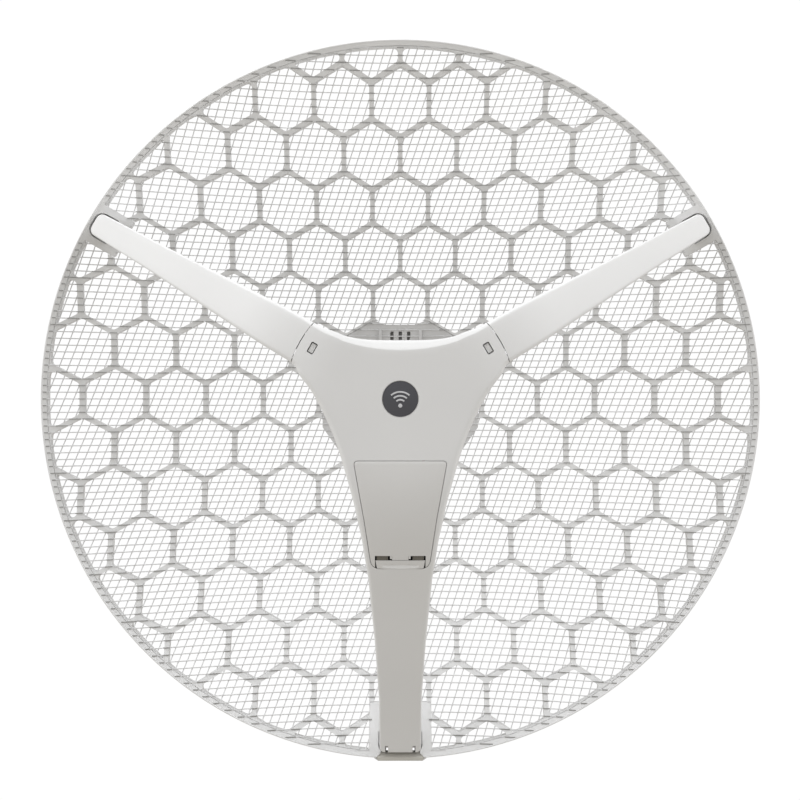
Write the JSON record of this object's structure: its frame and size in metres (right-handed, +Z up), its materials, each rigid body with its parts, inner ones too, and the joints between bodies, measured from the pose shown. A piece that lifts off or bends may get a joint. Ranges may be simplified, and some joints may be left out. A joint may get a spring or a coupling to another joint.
{
  "type": "parabolic grid antenna",
  "caption": "Round mesh dish on hexagonal ribs with a Y-shaped feed and radio unit in front, on a tilting bracket that clamps to a mast.",
  "frame": {"origin": "on the mast's axis, halfway between the two clamp bands", "axes": "+Z up along the mast, -Y the way the dish looks, +X to the right of someone who faces the dish's front"},
  "size_m": [0.548, 0.3209, 0.55],
  "materials": {
    "coated_metal": "warm light grey powder coat, satin",
    "housing_plastic": "off-white UV-stable moulding, fine satin",
    "emblem": "charcoal, satin",
    "circuit_board": "green solder mask",
    "zinc_steel": "tin plated sheet",
    "black_plastic": "matt black",
    "clear_lens": "clear lens over green light",
    "red_plastic": "moulded red",
    "copper": "bare copper",
    "white_nylon": "natural nylon",
    "fastener_steel": "zinc plated",
    "stainless": "bright stainless",
    "bracket_steel": "grey powder coat"
  },
  "bodies": {
    "mast_side": {"pole_saddle": "bracket_steel", "pivot_bolt": "fastener_steel", "pivot_nut": "fastener_steel", "lock_bolt": "fastener_steel", "lock_nut": "fastener_steel", "pivot_washer_left": "fastener_steel", "pivot_washer_right": "fastener_steel", "lock_washer_left": "fastener_steel", "lock_washer_right": "fastener_steel", "clamp_band_upper": "stainless", "clamp_band_lower": "stainless", "clamp_housing_upper": "stainless", "clamp_housing_lower": "stainless"},
    "antenna": {"reflector_rim": "coated_metal", "reflector_ribs": "coated_metal", "reflector_mesh": "coated_metal", "reflector_hub": "coated_metal", "hub_bracket": "bracket_steel", "hub_screw_1": "fastener_steel", "hub_screw_2": "fastener_steel", "hub_screw_3": "fastener_steel", "hub_screw_4": "fastener_steel", "main_housing": "housing_plastic", "rear_cover": "housing_plastic", "side_arm_left": "housing_plastic", "side_arm_right": "housing_plastic", "front_emblem": "emblem", "main_board": "circuit_board", "rj45_jack": "zinc_steel", "reset_switch": "black_plastic", "status_led": "clear_lens", "rf_shield": "zinc_steel", "feed_patch": "copper", "feed_director": "copper", "feed_post": "white_nylon", "board_screw_1": "fastener_steel", "board_screw_2": "fastener_steel", "board_screw_3": "fastener_steel", "board_screw_4": "fastener_steel", "cover_screw_1": "fastener_steel", "cover_screw_2": "fastener_steel", "cover_screw_3": "fastener_steel", "cover_screw_4": "fastener_steel", "arm_screw_1": "fastener_steel", "arm_screw_2": "fastener_steel", "arm_screw_3": "fastener_steel"},
    "door": {"cable_door": "housing_plastic"},
    "latch": {"door_latch": "housing_plastic"},
    "reset": {"reset_button": "red_plastic"},
    "upper_clamp_screw": {"clamp_screw_upper": "stainless"},
    "lower_clamp_screw": {"clamp_screw_lower": "stainless"}
  },
  "joints": [
    {"name": "elevation_tilt", "type": "hinge", "parent": "mast_side", "child": "antenna", "pos_m": [0, -0.049, -0.008], "axis": [1, 0, 0], "range_deg": [-15, 15]},
    {"name": "cable_door_hinge", "type": "hinge", "parent": "antenna", "child": "door", "pos_m": [0, -0.28445, -0.0432], "axis": [-1, 0, 0], "range_deg": [0, 95]},
    {"name": "door_latch_flex", "type": "hinge", "parent": "door", "child": "latch", "pos_m": [0, -0.26622, -0.1134], "axis": [-1, 0, 0], "range_deg": [0, 10], "stiffness_Nm_per_rad": 0.05},
    {"name": "reset_press", "type": "slide", "parent": "antenna", "child": "reset", "axis": [0, 0, 1], "range_m": [0, 0.0005], "stiffness_N_per_m": 300},
    {"name": "upper_clamp_turn", "type": "hinge", "parent": "mast_side", "child": "upper_clamp_screw", "pos_m": [0, 0.0315, 0.034], "axis": [1, 0, 0], "continuous": true},
    {"name": "lower_clamp_turn", "type": "hinge", "parent": "mast_side", "child": "lower_clamp_screw", "pos_m": [0, 0.0315, -0.034], "axis": [1, 0, 0], "continuous": true}
  ]
}
